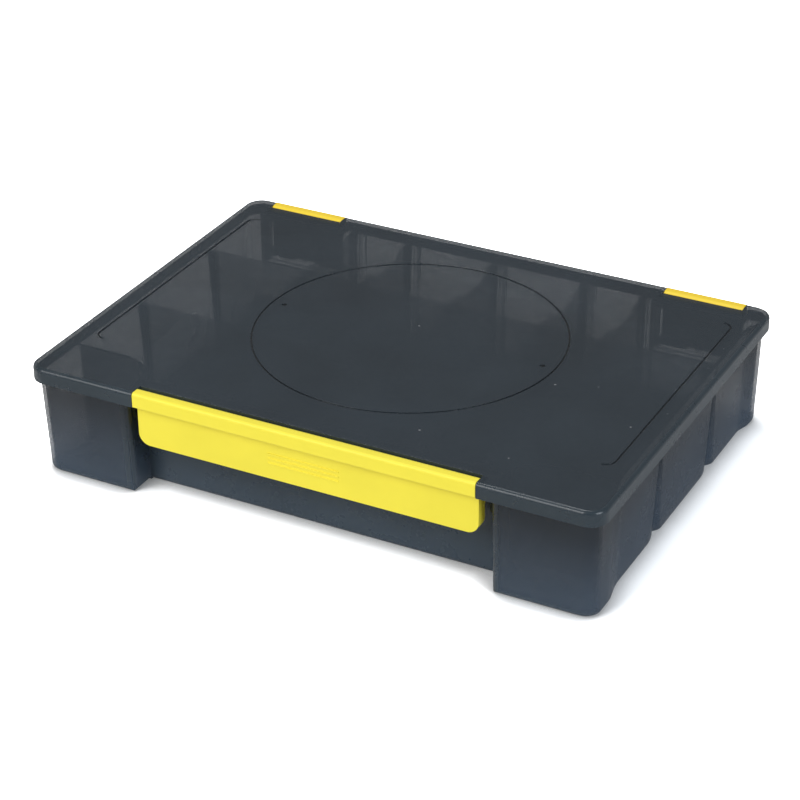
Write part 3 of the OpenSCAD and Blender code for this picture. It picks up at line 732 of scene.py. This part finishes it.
def add_camera(scene, stage):
    """Camera at the front right of the box, at the photo's angle."""
    turn, tilt, roll = (math.radians(v) for v in (stage.azimuth, stage.elevation, stage.roll))
    back = Vector((math.sin(turn) * math.cos(tilt), -math.cos(turn) * math.cos(tilt),
                   math.sin(tilt)))
    right = Vector((0, 0, 1)).cross(back).normalized()
    up = back.cross(right)
    rolled_right = right * math.cos(roll) + up * math.sin(roll)
    rolled_up = up * math.cos(roll) - right * math.sin(roll)
    place = (rolled_right * stage.shift_right + rolled_up * stage.shift_up
             + back * stage.distance)
    data = bpy.data.cameras.new("camera")
    data.sensor_width = 36
    data.lens = stage.lens
    data.clip_start = 0.05
    camera = bpy.data.objects.new("camera", data)
    axes = Matrix((rolled_right, rolled_up, back)).transposed().to_4x4()
    camera.matrix_world = Matrix.Translation(place) @ axes
    scene.collection.objects.link(camera)
    scene.camera = camera


def camera_or_else(tree, seen, otherwise, output):
    """Sends one shader to the camera and the other to every other ray."""
    mix = tree.nodes.new("ShaderNodeMixShader")
    path = tree.nodes.new("ShaderNodeLightPath")
    tree.links.new(path.outputs["Is Camera Ray"], mix.inputs["Fac"])
    tree.links.new(otherwise.outputs[0], mix.inputs[1])
    tree.links.new(seen.outputs[0], mix.inputs[2])
    tree.links.new(mix.outputs[0], output.inputs["Surface"])


def add_room(scene, stage):
    """Even light that shows as plain white to the camera."""
    world = bpy.data.worlds.new("room")
    scene.world = world
    world.use_nodes = True
    tree = world.node_tree
    tree.nodes.clear()
    output = tree.nodes.new("ShaderNodeOutputWorld")
    dim = tree.nodes.new("ShaderNodeBackground")
    dim.inputs["Color"].default_value = (1, 1, 1, 1)
    dim.inputs["Strength"].default_value = stage.world_light
    white = tree.nodes.new("ShaderNodeBackground")
    white.inputs["Color"].default_value = (1, 1, 1, 1)
    white.inputs["Strength"].default_value = 1
    camera_or_else(tree, white, dim, output)


def add_floor():
    """Pale floor that shows white to the camera except in the box's shadow and in a painted
    contact shadow close by it.
    """
    mesh = bpy.data.meshes.new("floor")
    half, level = 4.0, -0.0003
    mesh.from_pydata([(-half, -half, level), (half, -half, level), (half, half, level),
                      (-half, half, level)], [], [(0, 1, 2, 3)])
    floor = bpy.data.objects.new("floor", mesh)
    bpy.context.scene.collection.objects.link(floor)
    material = bpy.data.materials.new("pale_floor")
    material.use_nodes = True
    tree = material.node_tree
    tree.nodes.clear()
    output = tree.nodes.new("ShaderNodeOutputMaterial")
    paint = tree.nodes.new("ShaderNodeBsdfDiffuse")
    paint.inputs["Color"].default_value = (0.72, 0.72, 0.72, 1)
    # painted contact shadow, seen by the camera alone: darker than the cast shadow alone close
    # under the box, and past white away from it
    bright = tree.nodes.new("ShaderNodeBsdfDiffuse")
    near = tree.nodes.new("ShaderNodeAmbientOcclusion")
    near.inputs["Distance"].default_value = 0.016
    near.samples = 8
    painted_contact_shadow = map_range(tree, near.outputs["AO"], low_in=0.5, high_in=0.97, low_out=0.8, high_out=2.6)
    tree.links.new(painted_contact_shadow, bright.inputs["Color"])
    lift = tree.nodes.new("ShaderNodeEmission")
    lift.inputs["Color"].default_value = (1, 1, 1, 1)
    lift.inputs["Strength"].default_value = 0.08
    seen = tree.nodes.new("ShaderNodeAddShader")
    tree.links.new(bright.outputs[0], seen.inputs[0])
    tree.links.new(lift.outputs[0], seen.inputs[1])
    camera_or_else(tree, seen, paint, output)
    mesh.materials.append(material)


def softbox(name, place, aim, size, power, colour=(1, 1, 1)):
    """Square lamp at a place, turned to shine at its aim."""
    data = bpy.data.lights.new(name, "AREA")
    data.shape = "SQUARE"
    data.size = size
    data.energy = power
    data.color = colour
    lamp = bpy.data.objects.new(name, data)
    direction = Vector(aim) - Vector(place)
    turn = direction.to_track_quat("-Z", "Y").to_matrix().to_4x4()
    lamp.matrix_world = Matrix.Translation(place) @ turn
    bpy.context.scene.collection.objects.link(lamp)


# ---------------------------------------------------------------- panel and registration

class TACKLEBOX_PT_panel(bpy.types.Panel):
    """Lists the pieces of the box and their settings"""
    bl_idname = "TACKLEBOX_PT_panel"
    bl_label = "Compartment box"
    bl_space_type = "VIEW_3D"
    bl_region_type = "UI"
    bl_category = "Tackle Box"

    def draw(self, context):
        layout = self.layout
        for operator in OPERATORS:
            layout.operator(operator.bl_idname)
        for settings in SETTINGS:
            box = layout.box()
            group = getattr(context.scene, settings)
            for name in group.__annotations__:
                box.prop(group, name)


SETTINGS = {
    "tackle_smoke": SmokeSettings,
    "tackle_yellow": YellowSettings,
    "tackle_edges": EdgeSettings,
    "tackle_dividers": DividerSettings,
    "tackle_stage": StageSettings,
}
OPERATORS = (
    TACKLEBOX_OT_tray,
    TACKLEBOX_OT_lid,
    TACKLEBOX_OT_latch,
    TACKLEBOX_OT_clips,
    TACKLEBOX_OT_dividers,
    TACKLEBOX_OT_stage,
)


def register():
    for group in SETTINGS.values():
        bpy.utils.register_class(group)
    for operator in OPERATORS:
        bpy.utils.register_class(operator)
    bpy.utils.register_class(TACKLEBOX_PT_panel)
    for name, group in SETTINGS.items():
        setattr(bpy.types.Scene, name, bpy.props.PointerProperty(type=group))


def unregister():
    for name in SETTINGS:
        delattr(bpy.types.Scene, name)
    bpy.utils.unregister_class(TACKLEBOX_PT_panel)
    for operator in reversed(OPERATORS):
        bpy.utils.unregister_class(operator)
    for group in reversed(list(SETTINGS.values())):
        bpy.utils.unregister_class(group)


def main():
    """Runs every operator in order."""
    register()
    bpy.ops.tacklebox.stage()
    bpy.ops.tacklebox.tray()
    bpy.ops.tacklebox.lid()
    bpy.ops.tacklebox.latch()
    bpy.ops.tacklebox.clips()
    bpy.ops.tacklebox.dividers()


if __name__ == "__main__":
    main()
